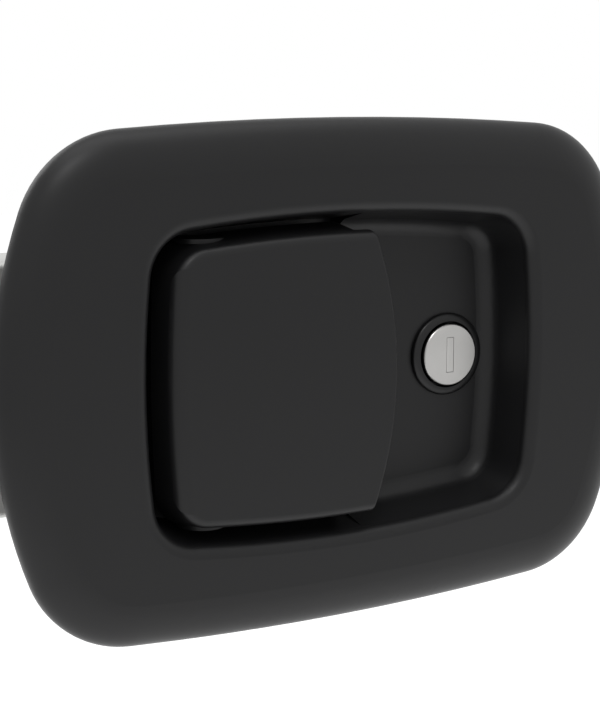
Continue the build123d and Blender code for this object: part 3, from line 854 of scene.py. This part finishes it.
class LATCH_OT_studio(bpy.types.Operator):
    """Sets up the camera, the white floor, the surroundings and the lamps"""

    bl_idname = "latch.studio"
    bl_label = "Studio"

    def execute(self, context):
        studio = context.scene.latch_studio
        context.scene.view_settings.view_transform = "Standard"
        self.camera(context.scene, studio)
        self.surroundings(context.scene, studio)
        self.floor(context.scene, studio)
        for name, size, place in SOFTBOXES:
            self.softbox(context.scene, name, size, getattr(studio, name), place)
        return {"FINISHED"}

    def camera(self, scene, studio):
        camera = bpy.data.cameras.new("camera")
        camera.lens = studio.lens
        camera.sensor_width = 36
        camera.clip_start = 0.01
        holder = bpy.data.objects.new("camera", camera)
        scene.collection.objects.link(holder)
        place, target = Vector(CAMERA_PLACE) * MM, Vector(CAMERA_TARGET) * MM
        holder.location = place
        holder.rotation_euler = (target - place).to_track_quat("-Z", "Y").to_euler()
        scene.camera = holder

    def background_rays(self, tree):
        """One for camera, glossy and transmission rays, which see the background itself."""
        path = add_node(tree, "ShaderNodeLightPath").outputs
        seen = maths(tree, "MAXIMUM", path["Is Camera Ray"], path["Is Glossy Ray"])
        return maths(tree, "MAXIMUM", seen, path["Is Transmission Ray"])

    def surroundings(self, scene, studio):
        world = bpy.data.worlds.new("studio")
        scene.world = world
        world.use_nodes = True
        tree = world.node_tree
        tree.nodes.clear()
        strength = add_node(
            tree,
            "ShaderNodeMapRange",
            {"Value": self.background_rays(tree), "To Min": studio.world, "To Max": 1.0},
        )
        background = add_node(tree, "ShaderNodeBackground", {"Strength": strength.outputs[0]})
        background.inputs["Color"].default_value = (1, 1, 1, 1)
        add_node(tree, "ShaderNodeOutputWorld", {"Surface": background.outputs[0]})

    def floor(self, scene, studio):
        data = bpy.data.meshes.new("floor")
        sides = ((-1, -1), (1, -1), (1, 1), (-1, 1))
        corners = [(x * FLOOR_REACH, y * FLOOR_REACH, -studio.floor_drop) for x, y in sides]
        data.from_pydata(corners, [], [(0, 1, 2, 3)])
        floor = bpy.data.objects.new("floor", data)
        scene.collection.objects.link(floor)
        # Matt white paper with a painted glow: the view shows it an even white with the latch's
        # shadow, and reflections show a painted pool of light fading from the latch outwards.
        material, tree, place = blank_material("paper_white_matt")
        distance = add_node(tree, "ShaderNodeVectorMath", {0: place}, operation="LENGTH")
        pool = add_node(
            tree,
            "ShaderNodeMapRange",
            {
                "Value": distance.outputs["Value"],
                "From Min": studio.pool_inner,
                "From Max": studio.pool_outer,
                "To Min": studio.pool,
                "To Max": studio.pool_rest,
            },
        )
        direct = add_node(tree, "ShaderNodeLightPath").outputs["Is Camera Ray"]
        limits = {"Value": direct, "To Min": pool.outputs[0], "To Max": studio.paper}
        share = add_node(tree, "ShaderNodeMapRange", limits).outputs["Result"]
        glow = maths(tree, "MULTIPLY", self.background_rays(tree), share)
        diffuse = add_node(tree, "ShaderNodeBsdfDiffuse", {"Color": studio.floor})
        light = add_node(tree, "ShaderNodeEmission", {"Strength": glow})
        both = add_node(tree, "ShaderNodeAddShader", {0: diffuse.outputs[0], 1: light.outputs[0]})
        finish_material(tree, both)
        data.materials.append(material)

    def softbox(self, scene, name, size, power, place):
        lamp = bpy.data.lights.new(name, "AREA")
        lamp.shape = "RECTANGLE"
        lamp.size, lamp.size_y = size
        lamp.energy = power
        holder = bpy.data.objects.new(name, lamp)
        scene.collection.objects.link(holder)
        holder.location = place
        holder.rotation_euler = (-Vector(place)).to_track_quat("-Z", "Y").to_euler()


STEPS = (
    LATCH_OT_mouldings,
    LATCH_OT_gasket,
    LATCH_OT_case,
    LATCH_OT_studs,
    LATCH_OT_bolt,
    LATCH_OT_hinge,
    LATCH_OT_springs,
    LATCH_OT_lock,
    LATCH_OT_studio,
)

GROUPS = {
    "latch_colours": LatchColours,
    "latch_details": LatchDetails,
    "latch_studio": LatchStudio,
}


class LATCH_PT_panel(bpy.types.Panel):
    """Lists the latch's steps, sizes and colours"""

    bl_idname = "LATCH_PT_panel"
    bl_label = "Paddle Latch"
    bl_space_type = "VIEW_3D"
    bl_region_type = "UI"
    bl_category = "Paddle Latch"

    def draw(self, context):
        for step in STEPS:
            self.layout.operator(step.bl_idname)
        for group_name in GROUPS:
            group = getattr(context.scene, group_name)
            for name in group.bl_rna.properties.keys():
                if name not in ("rna_type", "name"):
                    self.layout.prop(group, name)


def register():
    for entry in (*GROUPS.values(), *STEPS, LATCH_PT_panel):
        bpy.utils.register_class(entry)
    for name, group in GROUPS.items():
        setattr(bpy.types.Scene, name, PointerProperty(type=group))


def unregister():
    for name in GROUPS:
        delattr(bpy.types.Scene, name)
    for entry in reversed((*GROUPS.values(), *STEPS, LATCH_PT_panel)):
        bpy.utils.unregister_class(entry)


def main():
    register()
    bpy.ops.latch.mouldings()
    bpy.ops.latch.gasket()
    bpy.ops.latch.case()
    bpy.ops.latch.studs()
    bpy.ops.latch.bolt()
    bpy.ops.latch.hinge()
    bpy.ops.latch.springs()
    bpy.ops.latch.lock()
    bpy.ops.latch.studio()


if __name__ == "__main__":
    main()
